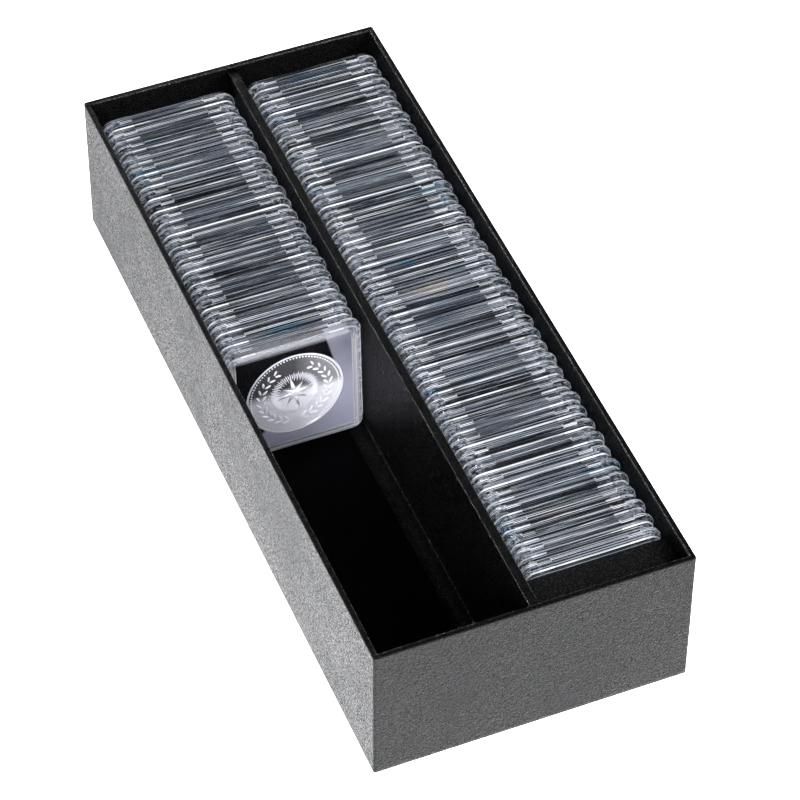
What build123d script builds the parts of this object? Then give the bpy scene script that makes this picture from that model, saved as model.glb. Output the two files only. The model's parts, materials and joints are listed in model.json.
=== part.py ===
"""A coin display case: an open, leatherette-covered box that files square coin
capsules on edge in two rows.

Millimetres, +Z up, +X across the case to the right, +Y to the back. The origin is the
middle of the underside. The front capsule of the left row is made in full, with its
insert and coin. The capsules filed behind it and beside it are the same size, with
plainer corners and with insert and coin as one plate.
"""

import os
from math import cos, radians, sin

from build123d import *

# Capsules and coin
capsule_side = 52.0  # round the ridge where the two halves meet
capsule_thickness = 6.25
capsule_corner = 5.0
ridge_depth = 1.0  # how far the ridge stands out from the sides
ridge_thickness = 0.6  # of each half's part of the ridge
capsule_edge = 0.5  # bevel round the two faces
face_thickness = 1.2
side_wall = 2.7  # from the side, without the ridge, to the room for the insert
lip_wall = 1.2  # the outer part of the side wall, which hides the tongue
tongue_length = 1.0
tongue_clearance = 0.15
parting_gap = 0.1  # between the two halves
insert_play = 0.1  # over, under and below the insert
insert_slack = 0.5  # round the insert when it is in the middle of its room
insert_corner = 1.0
notch_length = 5.0  # pry notches in the ridge, on the top edge
notch_depth = 0.7
notch_inset = 7.0  # from the side of the capsule
coin_diameter = 37.0
coin_thickness = 3.2
coin_play = 0.1
coin_rim = 1.1
coin_field_depth = 0.25
filed_flat = 2.9  # the two chamfers that round a filed capsule's corner
filed_ease = 1.2

# Case
case_length = 286.0
case_height = 60.0
wall_board = 1.5
base_thickness = 1.5
covering = 0.35  # leatherette
rim_edge = 0.2  # bevel of the covering where it folds over a board
base_sheet_thickness = 0.4
base_sheet_inset = 2.0
turn_under = 15.0  # how far the covering is folded under the base
filler_gap = 0.5
lining = 0.3
divider_board_thickness = 2.9
divider_drop = 0.8  # from the rim to the divider's top
flange_width = 6.5  # where the divider's covering is glued to the floor
flange_fold = 0.3  # no more than foam_play, because the foam stands beside it

# Rows
side_play = 1.5  # of a capsule in its compartment
row_shift = 0.3  # how far the rows sit to the right of the compartments' middle
row_stagger = 0.35  # how unevenly the capsules line up
stagger_turn = radians(127.5)
lean = radians(2.7)  # the capsules lean towards the back
back_play = 4.26  # from the back wall to the first capsule's top
left_gap = 0.382  # between neighbours, along the case
right_gap = 0.443
left_count = 20
standing_gap = 0.05
right_node_size = 2  # capsules of the right row that are lifted together
foam_least = 13.0
foam_drop = 2.0  # from a capsule's height to the foam's
foam_play = 0.3
foam_edge = 1.0

wall = wall_board + 2 * covering
divider_width = divider_board_thickness + 2 * covering
compartment_width = capsule_side + side_play
inner_width = 2 * compartment_width + divider_width
inner_length = case_length - 2 * wall
case_width = inner_width + 2 * wall
base_bottom = base_sheet_thickness + covering
base_top = base_bottom + base_thickness
lining_top = base_top + lining
flange_top = lining_top + covering
wall_board_top = case_height - covering
divider_top = case_height - divider_drop
half_depth = (capsule_thickness - parting_gap) / 2
face_side = capsule_side - 2 * ridge_depth
face_corner = capsule_corner - ridge_depth
insert_room = face_side - 2 * side_wall
insert_side = insert_room - 2 * insert_slack
insert_drop = insert_slack - insert_play  # the insert rests low in its room
insert_thickness = capsule_thickness - 2 * (face_thickness + insert_play)
capsule_run = capsule_thickness / cos(lean)  # thickness measured along the case
standing_height = flange_top + standing_gap
first_back = inner_length / 2 - back_play - (capsule_side + face_side) / 2 * sin(lean)
first_foot = first_back - half_depth * cos(lean)
right_pitch = capsule_run + right_gap
right_space = first_foot + capsule_run / 2 + inner_length / 2 - foam_least
right_count = int(right_space / right_pitch)
foam_height = capsule_side - foam_drop


def standing_plane(side, pitch, number):
    """The back face of a row's capsule, centred on it and facing the front of the case.

    side is -1 for the left row and 1 for the right one, and number counts from 1 at
    the back. The capsule stands on its ridge.
    """
    middle = side * (divider_width + compartment_width) / 2 + row_shift
    across = middle + row_stagger * sin(stagger_turn * number)
    foot = Vector(across, first_foot - (number - 1) * pitch, standing_height)
    up = Vector(0, sin(lean), cos(lean))
    facing = Vector(0, -cos(lean), sin(lean))
    middle_of_back = foot + up * (capsule_side / 2) - facing * half_depth
    return Plane(origin=middle_of_back, x_dir=(1, 0, 0), z_dir=facing)


def write(piece, name):
    piece.part.label = name
    export_step(piece.part, f"parts/{name}.step")


os.makedirs("parts", exist_ok=True)

# Base: a sheet pasted over the folded covering and the card that levels it
with BuildPart() as base_sheet:
    with BuildSketch():
        Rectangle(case_width - 2 * base_sheet_inset, case_length - 2 * base_sheet_inset)
    extrude(amount=base_sheet_thickness)
write(base_sheet, "base_sheet")

with BuildPart() as filler_card:
    with BuildSketch(Plane.XY.offset(base_sheet_thickness)):
        Rectangle(
            case_width - 2 * (turn_under + filler_gap),
            case_length - 2 * (turn_under + filler_gap),
        )
    extrude(amount=covering)
write(filler_card, "filler_card")

with BuildPart() as base_board:
    with BuildSketch(Plane.XY.offset(base_bottom)):
        Rectangle(case_width - 2 * covering, case_length - 2 * covering)
    extrude(amount=base_thickness)
write(base_board, "base_board")

# Wall boards: the side boards run the whole length, and the end boards fit between
board_height = wall_board_top - base_top
for side, name in ((-1, "left_wall_board"), (1, "right_wall_board")):
    with BuildPart() as side_board:
        with BuildSketch(Plane.XY.offset(base_top)):
            with Locations((side * (inner_width / 2 + covering + wall_board / 2), 0)):
                Rectangle(wall_board, case_length - 2 * covering)
        extrude(amount=board_height)
    write(side_board, name)

for end, name in ((-1, "front_wall_board"), (1, "back_wall_board")):
    with BuildPart() as end_board:
        with BuildSketch(Plane.XY.offset(base_top)):
            with Locations((0, end * (inner_length / 2 + covering + wall_board / 2))):
                Rectangle(inner_width + 2 * covering, wall_board)
        extrude(amount=board_height)
    write(end_board, name)

# Outer covering: up the outside, over the rim, down the inside and under the base
with BuildPart() as outer_cover:
    with BuildSketch(Plane.XY.offset(base_sheet_thickness)):
        RectangleRounded(case_width, case_length, 2 * covering)
    extrude(amount=case_height - base_sheet_thickness)
    with BuildSketch(Plane.XY.offset(base_sheet_thickness)):
        Rectangle(case_width - 2 * turn_under, case_length - 2 * turn_under)
    extrude(amount=covering, mode=Mode.SUBTRACT)
    with BuildSketch(Plane.XY.offset(base_bottom)):
        Rectangle(case_width - 2 * covering, case_length - 2 * covering)
    extrude(amount=wall_board_top - base_bottom, mode=Mode.SUBTRACT)
    with BuildSketch(Plane.XY.offset(wall_board_top)):
        Rectangle(inner_width, inner_length)
    extrude(amount=covering, mode=Mode.SUBTRACT)
    with BuildSketch(Plane.XY.offset(base_top)):
        Rectangle(inner_width + 2 * covering, inner_length + 2 * covering)
        Rectangle(inner_width, inner_length, mode=Mode.SUBTRACT)
    extrude(amount=wall_board_top - base_top)
    chamfer(outer_cover.faces().sort_by(Axis.Z)[-1].edges(), rim_edge)
write(outer_cover, "outer_cover")

# Divider, its covering with a flange glued down on each side, and the floor linings
with BuildPart() as divider_board:
    with BuildSketch(Plane.XY.offset(base_top)):
        Rectangle(divider_board_thickness, inner_length)
    extrude(amount=divider_top - covering - base_top)
write(divider_board, "divider_board")

with BuildPart() as divider_cover:
    with BuildSketch(Plane.XZ) as cover_profile:
        with Locations((0, lining_top)):
            Rectangle(
                divider_width + 2 * flange_width,
                covering,
                align=(Align.CENTER, Align.MIN),
            )
            Rectangle(
                divider_width,
                divider_top - lining_top,
                align=(Align.CENTER, Align.MIN),
            )
        corners = cover_profile.vertices().group_by(Axis.Y)
        folds = corners[1].sort_by(Axis.X)[1:-1]
        fillet(folds, flange_fold)
        chamfer(cover_profile.vertices().group_by(Axis.Y)[-1], rim_edge)
        with Locations((0, lining_top)):
            Rectangle(
                divider_board_thickness,
                divider_top - covering - lining_top,
                align=(Align.CENTER, Align.MIN),
                mode=Mode.SUBTRACT,
            )
    extrude(amount=inner_length / 2, both=True)
write(divider_cover, "divider_cover")

lining_width = (inner_width - divider_board_thickness) / 2
for side, name in ((-1, "left_floor_lining"), (1, "right_floor_lining")):
    with BuildPart() as floor_lining:
        with BuildSketch(Plane.XY.offset(base_top)):
            with Locations((side * (inner_width - lining_width) / 2, 0)):
                Rectangle(lining_width, inner_length)
        extrude(amount=lining)
    write(floor_lining, name)

# Foam block: fills the right row in front of its last capsule, and leans with it
foam_front = -inner_length / 2 + foam_play
foam_bottom = standing_height
last_front = standing_plane(1, right_pitch, right_count).offset(capsule_thickness).origin
foam_rise = last_front.Z - foam_bottom
foam_back = last_front.Y - foam_play - foam_rise * sin(lean) / cos(lean)
foam_lean = foam_height * sin(lean) / cos(lean)
foam_width = compartment_width - 2 * foam_play
foam_middle = (divider_width + compartment_width) / 2
with BuildPart() as foam_block:
    with BuildSketch(Plane.YZ.offset(foam_middle)):
        with BuildLine():
            Polyline(
                (foam_front, foam_bottom),
                (foam_back, foam_bottom),
                (foam_back + foam_lean, foam_bottom + foam_height),
                (foam_front, foam_bottom + foam_height),
                close=True,
            )
        make_face()
    extrude(amount=foam_width / 2, both=True)
    fillet(foam_block.edges().group_by(Axis.Z)[-1], foam_edge)
write(foam_block, "foam_block")

# Front capsule of the left row: a base and a lid that snap together round the insert
left_pitch = capsule_run + left_gap
back_face = standing_plane(-1, left_pitch, left_count)
front_face = back_face.offset(capsule_thickness)
room_corner = insert_corner + insert_play
rebate_side = face_side - 2 * lip_wall
rebate_corner = face_corner - lip_wall
tongue_side = rebate_side - 2 * tongue_clearance
notch_places = [
    (side * (capsule_side / 2 - notch_inset - notch_length / 2), capsule_side / 2)
    for side in (-1, 1)
]

with BuildPart() as front_capsule_base:
    with BuildSketch(back_face):
        RectangleRounded(face_side, face_side, face_corner)
    extrude(amount=half_depth)
    chamfer(front_capsule_base.faces().sort_by(Axis.Y)[-1].edges(), capsule_edge)
    with BuildSketch(back_face.offset(half_depth)):
        RectangleRounded(capsule_side, capsule_side, capsule_corner)
    extrude(amount=-ridge_thickness)
    with BuildSketch(back_face.offset(face_thickness)):
        RectangleRounded(insert_room, insert_room, room_corner)
    extrude(amount=half_depth - face_thickness, mode=Mode.SUBTRACT)
    with BuildSketch(back_face.offset(half_depth)):
        RectangleRounded(rebate_side, rebate_side, rebate_corner)
    extrude(amount=-tongue_length, mode=Mode.SUBTRACT)
    with BuildSketch(back_face.offset(half_depth)):
        with Locations(*notch_places):
            Rectangle(notch_length, 2 * notch_depth)
    extrude(amount=-ridge_thickness, mode=Mode.SUBTRACT)
write(front_capsule_base, "front_capsule_base")

with BuildPart() as front_capsule_lid:
    with BuildSketch(front_face):
        RectangleRounded(face_side, face_side, face_corner)
    extrude(amount=-half_depth)
    chamfer(front_capsule_lid.faces().sort_by(Axis.Y)[0].edges(), capsule_edge)
    with BuildSketch(front_face.offset(-half_depth)):
        RectangleRounded(capsule_side, capsule_side, capsule_corner)
    extrude(amount=ridge_thickness)
    with BuildSketch(front_face.offset(-face_thickness)):
        RectangleRounded(insert_room, insert_room, room_corner)
    extrude(amount=face_thickness - half_depth, mode=Mode.SUBTRACT)
    with BuildSketch(front_face.offset(-half_depth)):
        with Locations(*notch_places):
            Rectangle(notch_length, 2 * notch_depth)
    extrude(amount=ridge_thickness, mode=Mode.SUBTRACT)
    with BuildSketch(front_face.offset(-half_depth)):
        RectangleRounded(tongue_side, tongue_side, rebate_corner - tongue_clearance)
        RectangleRounded(insert_room, insert_room, room_corner, mode=Mode.SUBTRACT)
    extrude(amount=-(parting_gap + tongue_length - tongue_clearance))
write(front_capsule_lid, "front_capsule_lid")

with BuildPart() as front_capsule_insert:
    with BuildSketch(back_face.offset(face_thickness + insert_play)):
        with Locations((0, -insert_drop)):
            RectangleRounded(insert_side, insert_side, insert_corner)
            Circle(coin_diameter / 2 + coin_play, mode=Mode.SUBTRACT)
    extrude(amount=insert_thickness)
write(front_capsule_insert, "front_capsule_insert")

# Coin: a raised rim round a sunk field on both faces
coin_middle = back_face.origin - back_face.y_dir * insert_drop
coin_axis = Axis(coin_middle, back_face.z_dir)
coin_radius = coin_diameter / 2
coin_low = (capsule_thickness - coin_thickness) / 2
coin_high = coin_low + coin_thickness
with BuildPart() as coin:
    with BuildSketch(Plane(coin_middle, back_face.x_dir, -back_face.y_dir)):
        with BuildLine():
            Polyline(
                (0, coin_low + coin_field_depth),
                (coin_radius - coin_rim, coin_low + coin_field_depth),
                (coin_radius - coin_rim + coin_field_depth, coin_low),
                (coin_radius, coin_low),
                (coin_radius, coin_high),
                (coin_radius - coin_rim + coin_field_depth, coin_high),
                (coin_radius - coin_rim, coin_high - coin_field_depth),
                (0, coin_high - coin_field_depth),
                close=True,
            )
        make_face()
    revolve(axis=coin_axis)
write(coin, "coin")

# Filed capsule, lying on its back face: two equal trays, which slope up to the ridge,
# round one plate
with BuildPart() as filed_capsule:
    with BuildSketch(Plane.XY.offset(half_depth)) as tray_outline:
        Rectangle(capsule_side, capsule_side)
        chamfer(tray_outline.vertices(), filed_flat)
        chamfer(tray_outline.vertices(), filed_ease)
    extrude(amount=-half_depth)
    for edge in tray_outline.sketch.edges():
        outward = (edge % 0.5).cross(Vector(0, 0, 1))
        slope = outward * half_depth - Vector(0, 0, ridge_depth)
        split(bisect_by=Plane(edge @ 0.5, z_dir=slope), keep=Keep.BOTTOM)
    with BuildSketch(Plane.XY.offset(face_thickness)):
        Rectangle(insert_room, insert_room)
    extrude(amount=half_depth - face_thickness, mode=Mode.SUBTRACT)
    mirror(about=Plane.XY.offset(capsule_thickness / 2))
    with BuildSketch(Plane.XY.offset(face_thickness + insert_play)):
        with Locations((0, -insert_drop)):
            Rectangle(insert_side, insert_side)
    extrude(amount=insert_thickness)

# Left row: one capsule to a node, behind the front one
for number in range(1, left_count):
    with BuildPart() as filed:
        with Locations(standing_plane(-1, left_pitch, number)):
            add(filed_capsule.part)
    write(filed, f"left_capsule_{number:02d}")

# Right row: neighbours are lifted together, and the last capsule by itself
for first in range(1, right_count + 1, right_node_size):
    numbers = range(first, min(first + right_node_size, right_count + 1))
    with BuildPart() as filed:
        with Locations(*[standing_plane(1, right_pitch, number) for number in numbers]):
            add(filed_capsule.part)
    write(filed, "right_capsules_" + "_".join(f"{number:02d}" for number in numbers))

print(f"{case_width:.2f} x {case_length} x {case_height}, right row {right_count}")
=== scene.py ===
import json
import math

import bmesh
import bpy
from mathutils import Euler, Matrix, Vector, noise


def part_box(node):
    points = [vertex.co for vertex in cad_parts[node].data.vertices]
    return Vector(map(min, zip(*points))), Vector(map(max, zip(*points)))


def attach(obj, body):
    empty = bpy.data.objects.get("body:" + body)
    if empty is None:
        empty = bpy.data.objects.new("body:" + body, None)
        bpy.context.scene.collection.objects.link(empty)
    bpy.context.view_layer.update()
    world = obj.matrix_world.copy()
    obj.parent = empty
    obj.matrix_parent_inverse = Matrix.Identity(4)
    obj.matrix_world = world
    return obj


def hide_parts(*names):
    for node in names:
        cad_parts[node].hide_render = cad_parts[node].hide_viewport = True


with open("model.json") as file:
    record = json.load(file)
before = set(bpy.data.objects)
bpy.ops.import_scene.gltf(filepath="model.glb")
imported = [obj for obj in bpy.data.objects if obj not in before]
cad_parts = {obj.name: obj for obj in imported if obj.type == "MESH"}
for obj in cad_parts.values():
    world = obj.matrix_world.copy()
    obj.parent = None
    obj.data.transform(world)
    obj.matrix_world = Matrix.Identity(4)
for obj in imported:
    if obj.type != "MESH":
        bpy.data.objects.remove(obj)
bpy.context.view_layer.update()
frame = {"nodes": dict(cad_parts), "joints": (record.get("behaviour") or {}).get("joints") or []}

# Camera: a long lens above the front left corner of the case, looking down across both
# rows of capsules.
camera = bpy.data.objects.new("camera", bpy.data.cameras.new("camera"))
bpy.context.collection.objects.link(camera)
camera.data.lens = 168.995
camera.data.sensor_width = 36
camera.data.clip_end = 20
aim = Euler((math.radians(43.196), 0, math.radians(-22.573))).to_matrix()
camera.matrix_world = Matrix.Translation((-0.343545, -0.851703, 0.995857)) @ (
    aim @ Matrix.Rotation(math.radians(0.376), 3, "Z")
).to_4x4()
bpy.context.scene.camera = camera

# Studio: the case stands on a sheet of white paper, which glows so that it stays white next
# to the black case, less so towards the back. Four soft lamps and an even grey room light it.
mm = 0.001


def plug(tree, into, values):
    """Sets a node's sockets, or links those whose value is another node's socket."""
    for socket, value in values.items():
        if isinstance(value, bpy.types.NodeSocket):
            tree.links.new(value, into.inputs[socket])
        else:
            into.inputs[socket].default_value = value


def shade(tree, values):
    """Sets or links sockets of a material's shader."""
    plug(tree, tree.nodes["Principled BSDF"], values)


def finish(name, values):
    """A new material with these values on its shader, and its node tree."""
    made = bpy.data.materials.new(name)
    made.use_nodes = True
    shade(made.node_tree, values)
    return made, made.node_tree


def node(tree, kind, values=None, **settings):
    """Adds one node to a material."""
    made = tree.nodes.new("ShaderNode" + kind)
    for setting, value in settings.items():
        setattr(made, setting, value)
    plug(tree, made, values or {})
    return made


def surface_point(tree):
    """The place on the object of the point that is shaded, in metres."""
    return node(tree, "TexCoord").outputs["Object"]


def remap(tree, value, low, high, to_low=0, to_high=1, **settings):
    """Maps one range of values onto another, and holds the end values beyond it."""
    values = {
        "Value": value,
        "From Min": low,
        "From Max": high,
        "To Min": to_low,
        "To Max": to_high,
    }
    return node(tree, "MapRange", values, **settings).outputs["Result"]


def mesh_of(name, bm):
    """Turns a finished shape into a mesh."""
    mesh = bpy.data.meshes.new(name)
    bm.to_mesh(mesh)
    bm.free()
    return mesh


def piece(name, bm, *materials):
    """Makes a finished shape an object of the scene."""
    made = bpy.data.objects.new(name, mesh_of(name, bm))
    bpy.context.collection.objects.link(made)
    for material in materials:
        made.data.materials.append(material)
    return made


white_paper, tree = finish(
    "white_paper",
    {
        "Base Color": (0.86, 0.86, 0.87, 1),
        "Roughness": 0.6,
        "Emission Color": (0.97, 0.98, 1, 1),
    },
)
depth = node(tree, "SeparateXYZ", {"Vector": surface_point(tree)}).outputs["Y"]
shade(tree, {"Emission Strength": remap(tree, depth, -30 * mm, 200 * mm, 3.15, 1.9)})
paper_half = 3  # metres
paper_drop = 0.02 * mm
bm = bmesh.new()
bmesh.ops.create_grid(bm, x_segments=1, y_segments=1, size=paper_half)
bmesh.ops.translate(bm, verts=bm.verts, vec=(0, 0, -paper_drop))
paper = piece("studio_paper", bm, white_paper)


def lamp(name, place, target, size, power):
    """A square soft lamp pointed at a target."""
    made = bpy.data.objects.new(name, bpy.data.lights.new(name, "AREA"))
    bpy.context.collection.objects.link(made)
    made.data.size = size
    made.data.energy = power
    way = Vector(target) - Vector(place)
    made.matrix_world = Matrix.Translation(place) @ (
        way.to_track_quat("-Z", "Y").to_matrix().to_4x4()
    )


lamp("key_lamp", (1.0, -0.75, 1.15), (0, 0, 0), 0.9, 31)
lamp("front_lamp", (-0.75, -1.5, 1.0), (0, 0, 0), 0.9, 34)
lamp("back_lamp", (-0.78, 0.95, 0.9), (0, 0, 0), 0.3, 1.5)
lamp("rear_lamp", (0.4, 1.9, 0.32), (0, 0, 0.03), 0.5, 16)
room = bpy.data.worlds.new("room")
room.use_nodes = True
bpy.context.scene.world = room
plug(
    room.node_tree,
    room.node_tree.nodes["Background"],
    {"Color": (0.5, 0.52, 0.56, 1), "Strength": 0.25},
)
bpy.context.scene.view_settings.view_transform = "Standard"

# Boards: the case is built from grey millboard, 1.5 mm in the walls and the floor and
# 2.9 mm in the divider, butted and glued. It is hidden once the covering is on.


def mottle(tree, where, scale, detail, roughness=0.5, distortion=0):
    """Soft noise from 0 to 1, with a number of grains to the metre."""
    values = {
        "Vector": where,
        "Scale": scale,
        "Detail": detail,
        "Roughness": roughness,
        "Distortion": distortion,
    }
    return node(tree, "TexNoise", values).outputs["Fac"]


def ramp(tree, value, *stops):
    """The colour at a value, blended between stops of a place from 0 to 1 and a colour."""
    made = node(tree, "ValToRGB", {"Fac": value})
    elements = made.color_ramp.elements
    elements[0].position, elements[0].color = stops[0]
    elements[1].position, elements[1].color = stops[-1]
    for place, colour in stops[1:-1]:
        elements.new(place).color = colour
    return made.outputs["Color"]


def relief(tree, height, strength, rise, over=None, **settings):
    """Fine bumps that rise this far, on the plain surface or over coarser bumps."""
    values = {"Height": height, "Strength": strength, "Distance": rise}
    if over is not None:
        values["Normal"] = over
    return node(tree, "Bump", values, **settings).outputs["Normal"]


def recolour(name, material):
    """Gives a solid of the frame its finish."""
    slots = frame["nodes"][name].material_slots
    for slot in slots:
        slot.link = "DATA"
        slot.material = material
    if not slots:
        frame["nodes"][name].data.materials.append(material)


millboard, tree = finish("millboard", {"Base Color": (0.3, 0.28, 0.25, 1), "Roughness": 0.9})
pulp = mottle(tree, surface_point(tree), 900, 4)
greys = ramp(tree, pulp, (0, (0.19, 0.175, 0.155, 1)), (1, (0.42, 0.39, 0.35, 1)))
shade(tree, {"Base Color": greys, "Normal": relief(tree, pulp, 0.4, 0.1 * mm)})
for side in ("left", "right", "front", "back"):
    recolour(side + "_wall_board", millboard)
recolour("base_board", millboard)
recolour("divider_board", millboard)
recolour("filler_card", millboard)

# Underside: a sheet of black uncoated paper is pasted over the turned-in covering.
base_paper, tree = finish("base_paper", {"Base Color": (0.02, 0.02, 0.022, 1), "Roughness": 0.8})
fibres = mottle(tree, surface_point(tree), 1400, 5)
blacks = ramp(tree, fibres, (0, (0.014, 0.014, 0.016, 1)), (1, (0.035, 0.035, 0.038, 1)))
shade(tree, {"Base Color": blacks, "Normal": relief(tree, fibres, 0.3, 0.05 * mm)})
recolour("base_sheet", base_paper)

# Outer covering: one sheet of black leatherette with a fine pebble grain, glued up the
# outside of the walls, over the rim and down the inside, and turned under the base.
tolerance = 1e-6
skin = 0.35 * mm  # the covering with its glue
case_low, case_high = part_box("outer_cover")
rim_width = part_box("left_wall_board")[1].x + skin - case_low.x
skin_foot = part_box("base_board")[1].z
turn_under = 15 * mm
post_round = 1.0 * mm  # at the upright corners outside
rim_round = 0.55 * mm
mitre_depth = 0.16 * mm
skin_wave = 0.06 * mm
hem = 1.4 * mm  # cuts this near the outside keep the walls flat when shaded smooth


def maths(tree, operation, *values, **settings):
    """One step of arithmetic on one, two or three values."""
    made = node(tree, "Math", dict(enumerate(values)), operation=operation, **settings)
    return made.outputs["Value"]


def grained(name, gloss, smoothest, roughest):
    """Black leatherette: fine winding creases, matt at the bottom, between glossier tops."""
    made, tree = finish(name, {"Specular IOR Level": gloss})
    here = surface_point(tree)
    wrinkles = mottle(tree, here, 1500, 1, roughness=0.4, distortion=0.4)
    from_crease = maths(tree, "ABSOLUTE", maths(tree, "SUBTRACT", wrinkles, 0.5))
    tops = remap(tree, from_crease, 0, 0.12, interpolation_type="SMOOTHSTEP")
    pebbles = relief(tree, mottle(tree, here, 1150, 0), 1, 0.21 * mm)
    # The creases are painted a little darker than the tops of the grain: painted shade.
    blacks = ramp(tree, tops, (0, (0.0003, 0.0003, 0.0004, 1)), (1, (0.0015, 0.0015, 0.0018, 1)))
    wear_and_painted_front_light = mottle(tree, here, 28, 4, roughness=0.6)
    wear = remap(tree, wear_and_painted_front_light, 0.35, 0.65, smoothest, roughest)
    shade(
        tree,
        {
            "Base Color": blacks,
            "Normal": relief(tree, tops, 1, 0.18 * mm, over=pebbles),
            "Roughness": remap(tree, tops, 0, 0.45, 0.76, wear),
        },
    )
    return made


def box_between(low, high):
    """A box between two corners."""
    bm = bmesh.new()
    bmesh.ops.create_cube(bm, size=1)
    bmesh.ops.scale(bm, vec=high - low, verts=bm.verts)
    bmesh.ops.translate(bm, vec=(low + high) / 2, verts=bm.verts)
    return bm


def facing_faces(bm, way):
    """The faces of a shape that point one way."""
    bm.normal_update()
    return [face for face in bm.faces if face.normal.dot(Vector(way)) > 0.999]


def verts_in(geom):
    """The vertices among the parts of a shape."""
    return [part for part in geom if isinstance(part, bmesh.types.BMVert)]


def faces_in(geom):
    """The faces among the parts of a shape."""
    return [part for part in geom if isinstance(part, bmesh.types.BMFace)]


def push(bm, faces, way):
    """Moves faces by a distance and leaves walls behind them."""
    moved = bmesh.ops.extrude_face_region(bm, geom=faces)["geom"]
    bmesh.ops.delete(bm, geom=faces, context="FACES_ONLY")
    bmesh.ops.translate(bm, vec=way, verts=verts_in(moved))
    return faces_in(moved)


def inset(bm, faces, width):
    """Draws in the outline of faces, and leaves a border of this width."""
    bmesh.ops.inset_region(bm, faces=faces, thickness=width, use_even_offset=True)


def round_off(bm, geom, offset, segments, affect="EDGES", material=-1):
    """Rounds edges or corners."""
    bmesh.ops.bevel(
        bm,
        geom=geom,
        offset=offset,
        segments=segments,
        profile=0.5,
        affect=affect,
        material=material,
    )


def cut(bm, geom, place, way):
    """Cuts parts of a shape in two at a plane through a place, square to a way."""
    bmesh.ops.bisect_plane(bm, geom=geom, dist=tolerance, plane_co=place, plane_no=way)


def slice_through(bm, way, places):
    """Cuts a whole shape at planes that lie this far along a way."""
    for place in places:
        cut(bm, bm.verts[:] + bm.edges[:] + bm.faces[:], way * place, way)


def evenly(low, high, steps):
    """The places that part a span into even steps."""
    return [low + (high - low) * step / steps for step in range(1, steps)]


def whole(faces):
    """Faces with their edges and vertices."""
    return list(dict.fromkeys(part for f in faces for part in (*f.verts, *f.edges, f)))


def mark_wear(bm, top, margin):
    """Gives rounded upper edges inside a margin the rubbed finish, and flat tops the pressed one."""
    sloping, level = 0.15, 0.97  # how much of a face's normal points up
    bm.normal_update()
    for f in bm.faces:
        middle = f.calc_center_median()
        inside = abs(middle.x) < case_high.x - margin and abs(middle.y) < case_high.y - margin
        if inside and sloping < f.normal.z < level:
            f.material_index = 1
        elif f.normal.z > level and middle.z > top - 0.2 * mm:
            f.material_index = 2


def sink(bm, waves, depth):
    """Lets a surface sink by up to a depth, in slow waves."""
    for v in bm.verts:
        v.co -= v.normal * (0.5 + 0.5 * noise.noise(v.co * waves)) * depth


def smooth(made):
    """Shades an object smooth."""
    for polygon in made.data.polygons:
        polygon.use_smooth = True


def thicken(made, thickness):
    """Makes a surface a smooth sheet, with its thickness on the inside."""
    smooth(made)
    sheet = made.modifiers.new("sheet", "SOLIDIFY")
    sheet.thickness = thickness
    sheet.offset = -1


leatherette = grained("black_leatherette", 0.14, 0.2, 0.3)
rubbed_leatherette = grained("rubbed_leatherette", 1.0, 0.1, 0.2)
pressed_leatherette = grained("pressed_leatherette", 0.04, 0.3, 0.4)
bm = box_between(case_low, case_high)
top = facing_faces(bm, (0, 0, 1))
inset(bm, top, rim_width)
floor = push(bm, top, (0, 0, skin_foot - case_high.z))
bottom = facing_faces(bm, (0, 0, -1))
inset(bm, bottom, turn_under)
bmesh.ops.delete(bm, geom=floor + bottom, context="FACES_ONLY")
posts = [
    e
    for e in bm.edges
    if abs(e.verts[0].co.z - e.verts[1].co.z) > 50 * mm
    and abs(e.verts[0].co.x) > case_high.x - mm
]
round_off(bm, posts, post_round, 4)
rim = [
    e
    for e in bm.edges
    if min(v.co.z for v in e.verts) > case_high.z - tolerance
    and len(e.link_faces) == 2
    and e.calc_face_angle(0) > 1
]
round_off(bm, rim, rim_round, 4)
for way, steps in ((Vector((0, 1, 0)), 30), (Vector((1, 0, 0)), 13), (Vector((0, 0, 1)), 6)):
    start, end = case_low.dot(way), case_high.dot(way)
    slice_through(bm, way, [start + hem] + evenly(start, end, steps) + [end - hem])
rim_top = case_high.z - 0.1 * mm
for mirror in (-1, 1):  # the turned-in covering is mitred, and sinks a little along each mitre
    for end in (-1, 1):
        corners = [
            f
            for f in bm.faces
            if f.calc_center_median().z > rim_top
            and abs(f.calc_center_median().x) > case_high.x - rim_width
            and abs(f.calc_center_median().y) > case_high.y - rim_width
        ]
        outer_corner = (mirror * end * case_high.x, end * case_high.y, 0)
        cut(bm, whole(corners), outer_corner, (1, -mirror, 0))
for v in bm.verts:
    inwards = Vector((case_high.x - abs(v.co.x), case_high.y - abs(v.co.y)))
    on_mitre = abs(inwards.x - inwards.y) < 0.01 * mm and 0.3 * mm < inwards.x < rim_width
    if on_mitre and v.co.z > rim_top:
        v.co.z -= mitre_depth
mark_wear(bm, case_high.z, margin=0.6 * rim_width)
sink(bm, 38, skin_wave)
outer_cover = piece("leatherette_cover", bm, leatherette, rubbed_leatherette, pressed_leatherette)
thicken(outer_cover, 0.24 * mm)
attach(outer_cover, "case")
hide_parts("outer_cover")

# Divider covering: a strip of the same leatherette folded over the divider's top, with a
# flange glued down on the floor on each side of it.
strip_low, strip_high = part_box("divider_cover")
half_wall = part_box("divider_board")[1].x + skin
flange = strip_low.z + skin
fold_round = 0.5 * mm


def draw_line(bm, points):
    """Joins points by edges, and gives their vertices."""
    line = [bm.verts.new(point) for point in points]
    for one, other in zip(line, line[1:]):
        bm.edges.new((one, other))
    return line


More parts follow.
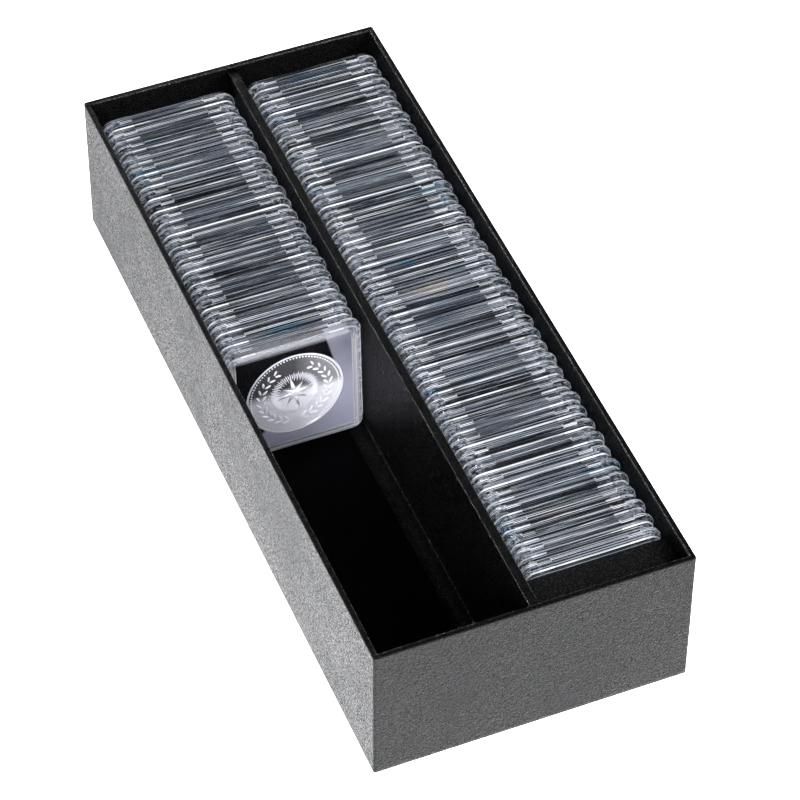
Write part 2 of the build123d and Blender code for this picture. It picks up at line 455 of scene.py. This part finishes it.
bm = bmesh.new()
corners = [
    (strip_low.x, flange),
    (-half_wall, flange),
    (-half_wall, strip_high.z),
    (half_wall, strip_high.z),
    (half_wall, flange),
    (strip_high.x, flange),
]
line = draw_line(bm, [(x, strip_low.y, z) for x, z in corners])
round_off(bm, line[1:5], fold_round, 4, affect="VERTICES")
stretched = bmesh.ops.extrude_edge_only(bm, edges=bm.edges[:])["geom"]
bmesh.ops.translate(bm, vec=(0, strip_high.y - strip_low.y, 0), verts=verts_in(stretched))
slice_through(bm, Vector((0, 1, 0)), evenly(strip_low.y, strip_high.y, 30))
bmesh.ops.recalc_face_normals(bm, faces=bm.faces)
if sum(f.normal.z * f.calc_area() for f in bm.faces) < 0:
    bmesh.ops.reverse_faces(bm, faces=bm.faces)
mark_wear(bm, strip_high.z, margin=0)
sink(bm, 45, skin_wave)
divider_cover = piece(
    "divider_cover_strip", bm, leatherette, rubbed_leatherette, pressed_leatherette
)
thicken(divider_cover, 0.26 * mm)
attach(divider_cover, "case")
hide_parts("divider_cover")

# Floor linings: a sheet of smooth dark paper glued down in each compartment.
lining_paper, tree = finish(
    "lining_paper",
    {"Base Color": (0.005, 0.005, 0.007, 1), "Roughness": 0.5, "Specular IOR Level": 0.03},
)
fibres = mottle(tree, surface_point(tree), 700, 6, roughness=0.7)
blacks = ramp(tree, fibres, (0, (0.0003, 0.0003, 0.0006, 1)), (1, (0.0014, 0.0014, 0.0024, 1)))
shade(tree, {"Base Color": blacks, "Normal": relief(tree, fibres, 0.25, 0.05 * mm)})
recolour("left_floor_lining", lining_paper)
recolour("right_floor_lining", lining_paper)

# Foam block: a block of dark grey packing foam, cut with a hot wire, fills the rest of the
# right row. It is only set in, and leans with the capsules.
foam, tree = finish("packing_foam", {"Roughness": 0.95, "Specular IOR Level": 0.15})
cells = node(tree, "TexVoronoi", {"Vector": surface_point(tree), "Scale": 1500})
from_pit = cells.outputs["Distance"]
# The colour is lightest on the tops of the cells and darkest in the hollows between them: painted
# shade.
greys = ramp(tree, from_pit, (0, (0.04, 0.04, 0.043, 1)), (0.4, (0.001, 0.001, 0.0012, 1)))
pits = relief(tree, from_pit, 0.9, 0.25 * mm, invert=True)
shade(tree, {"Base Color": greys, "Normal": pits})


def joint_axis(name):
    """The way along which a joint slides."""
    return Vector(next(joint["axis"] for joint in frame["joints"] if joint["name"] == name))


up = joint_axis("front_capsule_lift")
facing = joint_axis("front_lid_pull")
block_low, block_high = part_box("foam_block")
block_middle = (block_low + block_high) / 2
lean_back = (block_high.z - block_low.z) * up.y / up.z
block_round = 1.3 * mm
block_wave = 0.3 * mm
bm = box_between(block_low, block_high)
for v in bm.verts:
    if v.co.y > block_middle.y and v.co.z < block_middle.z:
        v.co.y -= lean_back
round_off(bm, bm.edges[:], block_round, 3)
for way, steps in ((Vector((1, 0, 0)), 14), (Vector((0, 1, 0)), 4), (Vector((0, 0, 1)), 12)):
    slice_through(bm, way, evenly(block_low.dot(way), block_high.dot(way), steps))
bm.normal_update()
sink(bm, 120, block_wave)
foam_block = piece("foam_filler", bm, foam)
smooth(foam_block)
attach(foam_block, "foam")
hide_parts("foam_block")

# Front capsule: two halves of clear polystyrene snap together round the coin. Each half is
# a flat pane with sloping sides, a ridge round the parting line and two pry notches on top.
shell_side = 52 * mm  # over the ridge
shell_thickness = 6.25 * mm
corner_round = 5 * mm
parting = 0.1 * mm
half_depth = (shell_thickness - parting) / 2
ridge_step = 1 * mm
ridge_depth = 0.6 * mm
edge_round = 0.12 * mm
pane_round = 0.4 * mm
lip_inset = 2.2 * mm  # from the ridge to the step of the rebate
room_inset = 3.7 * mm  # from the ridge to the room for the insert
pane_thickness = 1.2 * mm
room_depth = half_depth - pane_thickness
tongue_length = 1 * mm
tongue_play = 0.15 * mm
notch_place = 16.5 * mm  # from the middle of the top edge
notch_half = 2.5 * mm
notch_shoulder = 0.08 * mm
notch_depth = 0.7 * mm
insert_side = 43.6 * mm
insert_drop = 0.4 * mm  # the insert rests on the bottom of its room
row_middle = 28.5 * mm  # from the middle of the case


def stretch(tree, where, scale, shift=(0, 0, 0)):
    """A place with its axes scaled, for a pattern of size 1."""
    made = node(tree, "Mapping", {"Vector": where, "Scale": scale, "Location": shift})
    return made.outputs["Vector"]


def dimmed(tree, colour, share):
    """A share of a colour."""
    made = node(tree, "VectorMath", {0: colour, "Scale": share}, operation="SCALE")
    return made.outputs["Vector"]


def clear_plastic(name, haze_of, tint=(0.48, 0.53, 0.62, 1), tinges=()):
    """Clear polystyrene whose haze, from 0 to 1, comes from a function of its node tree."""
    made, tree = finish(name, {"Base Color": tint, "Roughness": 0.04, "IOR": 1.55})
    here = surface_point(tree)
    if tinges:
        # The tinted bands and thin dark lines painted into the colour stand for reflections and
        # shade seen in the stacked plastic: painted reflection and painted shade.
        bands = mottle(tree, stretch(tree, here, (55, 130, 130)), 1, 2)
        dark_line_noise = mottle(tree, stretch(tree, here, (7, 1900, 1900), shift=(3, 1, 2)), 1, 1)
        lit = remap(tree, dark_line_noise, 0.4, 0.46, to_low=0.05)
        shade(tree, {"Base Color": dimmed(tree, ramp(tree, bands, *tinges), lit)})
    clearness = maths(tree, "SUBTRACT", 1, haze_of(tree, here))
    shade(tree, {"Transmission Weight": clearness})
    plastic = tree.nodes["Principled BSDF"].outputs["BSDF"]
    passing = node(tree, "BsdfTransparent", {"Color": (0.93, 0.94, 0.95, 1)}).outputs["BSDF"]
    is_shadow = node(tree, "LightPath").outputs["Is Shadow Ray"]
    pane = node(tree, "MixShader", {0: is_shadow, 1: plastic, 2: passing})
    plug(tree, tree.nodes["Material Output"], {"Surface": pane.outputs["Shader"]})
    return made


def face_place(tree, here):
    """A point's place across and up the face of the front capsule, from its middle."""
    face = node(
        tree,
        "Mapping",
        {"Vector": here, "Location": front_centre, "Rotation": standing_turn},
        vector_type="TEXTURE",
    )
    place = node(tree, "SeparateXYZ", {"Vector": face.outputs["Vector"]})
    return place.outputs["X"], place.outputs["Y"]


def pane_painted_highlights(tree, here):
    """Clear over the insert. The thick edge outside it is hazed in bright bands between clear ones,
    most along the top: painted highlights.
    """
    across, height = face_place(tree, here)
    tall = maths(tree, "ABSOLUTE", maths(tree, "ADD", height, insert_drop))
    rim = maths(tree, "MAXIMUM", maths(tree, "ABSOLUTE", across), tall)
    beyond = remap(tree, rim, insert_side / 2, 26.4 * mm)
    line_count = 3000  # to the metre
    levels = (
        (0, 0),
        (0.01, 0.9),
        (0.08, 0.9),
        (0.12, 0.2),
        (0.18, 0.2),
        (0.23, 1.0),
        (0.42, 0.85),
        (0.47, 0.12),
        (0.54, 0.12),
        (0.58, 0.6),
        (0.65, 0.5),
        (0.7, 0.1),
        (1, 0.1),
    )
    profile = ramp(tree, beyond, *((place, (level, level, level, 1)) for place, level in levels))
    lines = node(
        tree,
        "TexNoise",
        {"W": maths(tree, "MULTIPLY", rim, line_count), "Scale": 1, "Detail": 1},
        noise_dimensions="1D",
    )
    line = remap(tree, lines.outputs["Fac"], 0.35, 0.65, 0.08, 0.27)
    # The top band is hazed most: painted highlight.
    top = remap(tree, height, 18 * mm, 20.5 * mm, 2.8, 1)
    return maths(tree, "MULTIPLY", profile, maths(tree, "MULTIPLY", line, top))


def from_middle(tree, here):
    """The distance of a point from the middle line of its row."""
    across = node(tree, "SeparateXYZ", {"Vector": here}).outputs["X"]
    off = maths(tree, "SUBTRACT", maths(tree, "ABSOLUTE", across), row_middle)
    return maths(tree, "ABSOLUTE", off)


def row_ends(tree, here, most):
    """Grows from 0 to the most near both ends of the capsules in either row."""
    return remap(tree, from_middle(tree, here), 14 * mm, 23 * mm, to_high=most)


def streaks(tree, here):
    """Painted highlights in the haze: fine lines along the capsule's edges and cloudy patches, most
    at the ends, hazier towards the front of the case where more light falls.
    """
    threads = mottle(tree, stretch(tree, here, (9, 2200, 2200)), 1, 1)
    thread = remap(tree, threads, 0.57, 0.63, to_high=0.42)
    clouds = mottle(tree, stretch(tree, here, (60, 330, 330)), 1, 5, roughness=0.75)
    cloud = remap(tree, clouds, 0.56, 0.8, to_high=0.28)
    patches = remap(tree, mottle(tree, here, 620, 2, roughness=0.6), 0.5, 0.6)
    ends = maths(tree, "MULTIPLY", patches, row_ends(tree, here, 0.45))
    haze = maths(tree, "ADD", maths(tree, "MAXIMUM", thread, cloud), ends)
    along = node(tree, "SeparateXYZ", {"Vector": here}).outputs["Y"]
    # More haze towards the front of the case: painted light.
    wear_and_painted_front_light = remap(tree, along, 70 * mm, -20 * mm, 1, 1.45)
    return maths(tree, "MULTIPLY", haze, wear_and_painted_front_light)


def bright_edges(tree, here):
    """Painted highlights: rounded edges are hazed white, some more than others, most at the notches
    and the ends of the rows.
    """
    lines = mottle(tree, stretch(tree, here, (30, 700, 700)), 1, 3)
    haze = remap(tree, lines, 0.45, 0.63, to_high=0.7)
    notch = maths(tree, "COMPARE", from_middle(tree, here), notch_place, notch_half + 0.2 * mm)
    marked = maths(tree, "MULTIPLY_ADD", notch, 0.35, haze)
    return maths(tree, "ADD", marked, row_ends(tree, here, 0.35), use_clamp=True)


def half_shell(lip, corner_steps=6):
    """One half with its parting line up at z = 0. Its lip is a rebate, a tongue or plain."""
    bm = bmesh.new()
    bmesh.ops.create_grid(bm, x_segments=1, y_segments=1, size=shell_side / 2)
    round_off(bm, bm.verts[:], corner_round, corner_steps, affect="VERTICES")
    sunk = bmesh.ops.extrude_face_region(bm, geom=bm.faces[:])["geom"]
    bmesh.ops.translate(bm, vec=(0, 0, -ridge_depth), verts=verts_in(sunk))
    bmesh.ops.recalc_face_normals(bm, faces=bm.faces)
    crest = [e for e in bm.edges if abs(e.verts[0].co.z - e.verts[1].co.z) < tolerance]
    round_off(bm, crest, edge_round, 2, material=1)
    ridge_back = facing_faces(bm, (0, 0, -1))
    inset(bm, ridge_back, ridge_step - edge_round)
    face = push(bm, ridge_back, (0, 0, ridge_depth - half_depth))[0]
    round_off(bm, face.edges[:], pane_round, 2, material=1)
    if lip == "rebate":
        steps = ((lip_inset, -tongue_length), (room_inset - lip_inset, tongue_length - room_depth))
    elif lip == "tongue":
        foot = lip_inset + tongue_play
        reach = parting + tongue_length - tongue_play
        steps = ((foot, reach), (room_inset - foot, -reach - room_depth))
    else:
        steps = ((room_inset, -room_depth),)
    parting_face = facing_faces(bm, (0, 0, 1))
    rounded = edge_round
    for inwards, rise in steps:
        inset(bm, parting_face, inwards - rounded)
        rounded = 0
        parting_face = push(bm, parting_face, (0, 0, rise))
    top_edge = shell_side / 2
    straight = 0.8 * shell_side / 2  # between the round corners
    notch_floor = notch_half - notch_shoulder
    shoulder = notch_half - notch_shoulder / 2
    for notch in (-notch_place, notch_place):
        for offset in (-notch_half, -notch_floor, notch_floor, notch_half):
            crest = [
                f
                for f in bm.faces
                if f.calc_center_median().y > top_edge - ridge_step
                and f.calc_center_median().z > -ridge_depth - tolerance
                and abs(f.calc_center_median().x) < straight
            ]
            cut(bm, whole(crest), (notch + offset, 0, 0), (1, 0, 0))
        for v in bm.verts:
            if v.co.y > top_edge - 0.2 * mm and abs(v.co.x - notch) < shoulder:
                v.co.y -= notch_depth
        for f in bm.faces:
            middle = f.calc_center_median()
            on_shoulder = abs(abs(middle.x - notch) - shoulder) < notch_shoulder / 2
            if middle.y > top_edge - ridge_step and on_shoulder:
                f.material_index = 1
    return bm


def standing(centre):
    """Turns a shape from flat, with its face towards +z, to how a capsule stands."""
    turn = Matrix(((1, 0, 0), up, facing)).transposed().to_4x4()
    return Matrix.Translation(centre) @ turn


shell_low, shell_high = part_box("front_capsule_base")
lid_low, lid_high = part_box("front_capsule_lid")
front_centre = Vector(
    [(min(shell_low[i], lid_low[i]) + max(shell_high[i], lid_high[i])) / 2 for i in range(3)]
)
standing_turn = standing((0, 0, 0)).to_euler()
filed_plastic = clear_plastic(
    "clear_polystyrene",
    streaks,
    tinges=(
        (0.28, (0.24, 0.42, 0.56, 1)),
        (0.35, (0.42, 0.46, 0.53, 1)),
        (0.66, (0.5, 0.53, 0.59, 1)),
        (0.75, (0.6, 0.52, 0.47, 1)),
    ),
)
front_plastic = clear_plastic("scuffed_polystyrene", pane_painted_highlights, tint=(0.94, 0.94, 0.99, 1))
edge_plastic = clear_plastic("edge_polystyrene", bright_edges, tint=(0.93, 0.94, 0.98, 1))
bm = half_shell("rebate")
bmesh.ops.translate(bm, vec=(0, 0, -parting / 2), verts=bm.verts)
bmesh.ops.transform(bm, matrix=standing(front_centre), verts=bm.verts)
front_base = piece("front_capsule_back_half", bm, filed_plastic, edge_plastic)
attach(front_base, "front_capsule")
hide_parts("front_capsule_base")

bm = half_shell("tongue")
bmesh.ops.scale(bm, vec=(1, 1, -1), verts=bm.verts)
bmesh.ops.reverse_faces(bm, faces=bm.faces)
bmesh.ops.translate(bm, vec=(0, 0, parting / 2), verts=bm.verts)
bmesh.ops.transform(bm, matrix=standing(front_centre), verts=bm.verts)
front_lid = piece("front_capsule_front_half", bm, front_plastic, edge_plastic)
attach(front_lid, "front_lid")
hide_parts("front_capsule_lid")

# Insert: a square of soft black foam rubber with a round hole that holds the coin. The
# front one has a grey-lavender sheen painted over its lower right half: a painted reflection.
insert_thickness = 3.65 * mm
coin_radius = 18.5 * mm
coin_play = 0.1 * mm


def pores(tree):
    """The fine pores of foam rubber."""
    return relief(tree, mottle(tree, surface_point(tree), 2500, 2), 0.4, 0.06 * mm)


def insert_plate(hole_steps=64):
    """The insert lying flat, centred on its own middle."""
    bm = bmesh.new()
    bmesh.ops.create_circle(
        bm, cap_ends=False, radius=coin_radius + coin_play, segments=hole_steps
    )
    hole = bm.edges[:]
    bmesh.ops.create_grid(bm, x_segments=1, y_segments=1, size=insert_side / 2)
    plate = bm.faces[:]
    outline = plate[0].edges[:]
    bmesh.ops.delete(bm, geom=plate, context="FACES_ONLY")
    bmesh.ops.triangle_fill(bm, use_beauty=True, use_dissolve=False, edges=hole + outline)
    raised = bmesh.ops.extrude_face_region(bm, geom=bm.faces[:], use_keep_orig=True)["geom"]
    bmesh.ops.translate(bm, vec=(0, 0, insert_thickness), verts=verts_in(raised))
    bmesh.ops.translate(bm, vec=(0, 0, -insert_thickness / 2), verts=bm.verts)
    bmesh.ops.recalc_face_normals(bm, faces=bm.faces)
    return bm


insert_rubber, tree = finish(
    "insert_rubber",
    {"Base Color": (0.003, 0.003, 0.004, 1), "Roughness": 0.8, "Specular IOR Level": 0.1},
)
shade(tree, {"Normal": pores(tree)})
border_slope, border_height = 0.846, -4.1 * mm  # of the painted sheen's upper border
side_slope = 0.237  # of its border beside the coin
# The grey sheen on the front insert is a painted reflection.
bloomed_rubber, tree = finish("bloomed_rubber", {"Roughness": 0.7, "Specular IOR Level": 0.08})
across, height = face_place(tree, surface_point(tree))
border = maths(tree, "MULTIPLY_ADD", across, border_slope, border_height)
sheen_below_border = remap(tree, maths(tree, "SUBTRACT", border, height), -0.6 * mm, 1 * mm)
beside = maths(tree, "MULTIPLY_ADD", height, side_slope, across)
right = remap(tree, beside, 17.2 * mm, 17.9 * mm)
sheen_strength = remap(tree, height, 17 * mm, -4 * mm, 0.5, 1)
painted_sheen = maths(tree, "MULTIPLY", maths(tree, "MAXIMUM", sheen_below_border, right), sheen_strength)
greys = ramp(tree, painted_sheen, (0, (0.0015, 0.0015, 0.002, 1)), (1, (0.36, 0.36, 0.43, 1)))
shade(tree, {"Base Color": greys, "Normal": pores(tree)})
bm = insert_plate()
bmesh.ops.translate(bm, vec=(0, -insert_drop, 0), verts=bm.verts)
bmesh.ops.transform(bm, matrix=standing(front_centre), verts=bm.verts)
front_insert = piece("front_capsule_insert_plate", bm, bloomed_rubber)
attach(front_insert, "front_capsule")
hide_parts("front_capsule_insert")

# Coin: a struck silver round with a raised rim, mirror fields and a frosted relief of a
# beaded ring, a wreath of leaves and an eight-pointed star.
coin_thickness = 3.2 * mm
field_drop = 0.25 * mm  # of the field below the rim
rim_foot, rim_crest, rim_bevel = 1.1 * mm, 0.85 * mm, 0.2 * mm  # in from the edge
bead_count = 88
bead_radius = 0.36 * mm
bead_inset = 1.75 * mm
leaf_count = 11  # pairs on each side
leaf_half = (1.75, 0.62, 0.4)  # half the length, width and height, in mm
leaf_taper = 0.035  # how much smaller each next pair is
leaf_start, leaf_step = math.radians(16), math.radians(13.4)
leaf_splay = 0.6
leaf_apart = 1 * mm
stem_radius = 12.9 * mm
ray_count = 72
ray_half = (0.2, 0.22)  # half the width and height, in mm
long_ray, short_ray = (5.4, 10.3), (6.6, 9.6)  # from the middle, in mm
point_count = 8
point_turn = math.radians(11)
point_squash = (0.35, 1.6)  # the height and width of a small cone that lies down
long_point, short_point = 8.6, 5.6  # in mm
boss_radius = 1.9 * mm
boss_flatness = 0.38
mirror_silver, tree = finish("mirror_silver", {"Roughness": 0.2, "Metallic": 0.15})
here = surface_point(tree)
polish = remap(tree, mottle(tree, here, 300, 4), 0.3, 0.7, 0.06, 0.2)
# The mirror fields are painted darker at the upper left and lighter towards the lower right: painted
# reflection.
across, height = face_place(tree, here)
lower = remap(tree, height, 3.5 * mm, -1.5 * mm)
lit_side = remap(tree, across, -18 * mm, 5 * mm, 0.55, 1)
far_side = remap(tree, across, 0, 16 * mm, 0.06, 0.4)
painted_light_tone = maths(tree, "MAXIMUM", maths(tree, "MULTIPLY", lower, lit_side), far_side)
shade(tree, {"Roughness": polish, "Base Color": dimmed(tree, (1, 0.99, 1), painted_light_tone)})
frosted_silver, tree = finish("frosted_silver", {"Roughness": 0.4, "Metallic": 0.15})
here = surface_point(tree)
across, height = face_place(tree, here)
# The relief is painted greyer on the left and whiter on the right: painted light.
lit_side = remap(tree, across, -14 * mm, 8 * mm)
whites = ramp(tree, lit_side, (0, (0.62, 0.62, 0.64, 1)), (1, (0.97, 0.96, 1, 1)))
frost = relief(tree, mottle(tree, here, 4000, 2), 0.5, 0.03 * mm)
shade(tree, {"Base Color": whites, "Normal": frost})


def coin_blank(steps=96):
    """The blank with its rims, lying flat and centred on its own middle."""
    bm = bmesh.new()
    half = coin_thickness / 2
    upper_side = [
        (0, half - field_drop),
        (coin_radius - rim_foot, half - field_drop),
        (coin_radius - rim_crest, half),
        (coin_radius - rim_bevel, half),
        (coin_radius, half - rim_bevel),
    ]
    lower_side = [(x, -z) for x, z in upper_side]
    draw_line(bm, [(x, 0, z) for x, z in lower_side + upper_side[::-1]])
    bmesh.ops.spin(
        bm,
        geom=bm.verts[:] + bm.edges[:],
        axis=(0, 0, 1),
        cent=(0, 0, 0),
        steps=steps,
        angle=math.tau,
        use_merge=True,
    )
    bmesh.ops.remove_doubles(bm, verts=bm.verts, dist=tolerance)
    bmesh.ops.recalc_face_normals(bm, faces=bm.faces)
    for f in bm.faces:
        if f.calc_center_median().xy.length > coin_radius - rim_crest:
            f.material_index = 1
    return bm


def strike(bm, made, matrix):
    """Places a raised detail and gives it the frosted finish."""
    bmesh.ops.transform(bm, matrix=matrix, verts=made["verts"])
    for f in {f for v in made["verts"] for f in v.link_faces}:
        f.material_index = 1
        f.smooth = True


bm = coin_blank()
field = coin_thickness / 2 - field_drop
for bead in range(bead_count):
    turn = Matrix.Rotation(math.tau * bead / bead_count, 4, "Z")
    made = bmesh.ops.create_icosphere(bm, subdivisions=1, radius=bead_radius)
    strike(bm, made, turn @ Matrix.Translation((coin_radius - bead_inset, 0, field)))
for side in (-1, 1):
    for leaf in range(leaf_count):
        turn = Matrix.Rotation(side * (leaf_start + leaf_step * leaf) - math.pi / 2, 4, "Z")
        size = 1 - leaf_taper * leaf
        for bank in (-1, 1):
            out = Matrix.Translation((stem_radius + bank * leaf_apart, 0, field))
            tilt = Matrix.Rotation(side * (math.pi / 2 - bank * leaf_splay), 4, "Z")
            shape = Matrix.Diagonal((leaf_half[0] * size, leaf_half[1] * size, leaf_half[2], 1))
            made = bmesh.ops.create_icosphere(bm, subdivisions=2, radius=1 * mm)
            strike(bm, made, turn @ out @ tilt @ shape)
for ray in range(ray_count):
    turn = Matrix.Rotation(math.tau * ray / ray_count, 4, "Z")
    near, far = long_ray if ray % 2 == 0 else short_ray
    out = Matrix.Translation(((far + near) / 2 * mm, 0, field))
    shape = Matrix.Diagonal(((far - near) / 2, *ray_half, 1))
    made = bmesh.ops.create_icosphere(bm, subdivisions=1, radius=1 * mm)
    strike(bm, made, turn @ out @ shape)
for point in range(point_count):
    turn = Matrix.Rotation(math.tau * point / point_count + point_turn, 4, "Z")
    length = long_point if point % 2 == 0 else short_point
    out = Matrix.Translation((length / 2 * mm, 0, field)) @ Matrix.Rotation(math.pi / 2, 4, "Y")
    shape = Matrix.Diagonal((*point_squash, length, 1))
    made = bmesh.ops.create_cone(
        bm, cap_ends=True, segments=4, radius1=1 * mm, radius2=0, depth=1 * mm
    )
    strike(bm, made, turn @ out @ shape @ Matrix.Rotation(math.pi / 4, 4, "Z"))
made = bmesh.ops.create_icosphere(bm, subdivisions=3, radius=boss_radius)
strike(bm, made, Matrix.Translation((0, 0, field)) @ Matrix.Diagonal((1, 1, boss_flatness, 1)))
bmesh.ops.translate(bm, vec=(0, -insert_drop, 0), verts=bm.verts)
bmesh.ops.transform(bm, matrix=standing(front_centre), verts=bm.verts)
coin = piece("silver_coin", bm, mirror_silver, frosted_silver)
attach(coin, "front_capsule")
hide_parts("coin")

# Filed capsules: the same capsules stand on edge in both rows. Their halves are closed,
# so a plain lip stands for the tongue and rebate.


def filed_centres(name):
    """The middle of each of the one or two capsules that a node holds."""
    points = [v.co for v in frame["nodes"][name].data.vertices]
    rearmost = min(p.dot(facing) for p in points)
    capsules = {}
    for p in points:
        in_front = p.dot(facing) - rearmost > shell_thickness + 0.15 * mm
        capsules.setdefault(in_front, []).append(p)
    return [
        Vector([(min(p[i] for p in capsule) + max(p[i] for p in capsule)) / 2 for i in range(3)])
        for capsule in capsules.values()
    ]


def closed_shell():
    """Both halves of a filed capsule, lying flat."""
    bm = half_shell("plain", corner_steps=4)
    bmesh.ops.translate(bm, vec=(0, 0, -parting / 2), verts=bm.verts)
    copy = bmesh.ops.duplicate(bm, geom=bm.verts[:] + bm.edges[:] + bm.faces[:])["geom"]
    bmesh.ops.scale(bm, vec=(1, 1, -1), verts=verts_in(copy))
    bmesh.ops.reverse_faces(bm, faces=faces_in(copy))
    return bm


shell_shape = mesh_of("closed_shell", closed_shell())
insert_shape = mesh_of("filed_insert", insert_plate(hole_steps=24))
coin_shape = mesh_of("filed_coin", coin_blank(steps=32))
filed = [name for name in frame["nodes"] if name.startswith(("left_capsule_", "right_capsules_"))]
for name in filed:
    body = name.replace("capsules_", "").replace("capsule_", "")
    centres = filed_centres(name)
    for part, shape, materials, slot, drop in (
        ("shells", shell_shape, (filed_plastic, edge_plastic), "clear_plastic", 0),
        ("inserts", insert_shape, (insert_rubber,), "insert_foam", insert_drop),
        ("coins", coin_shape, (mirror_silver, frosted_silver), "silver", insert_drop),
    ):
        bm = bmesh.new()
        for centre in centres:
            bm.from_mesh(shape)
            fresh = bm.verts[-len(shape.vertices) :]
            lowered = Matrix.Translation((0, -drop, 0))
            bmesh.ops.transform(bm, matrix=standing(centre) @ lowered, verts=fresh)
        made = piece(name + "_" + part, bm, *materials)
        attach(made, body)
        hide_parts(name)
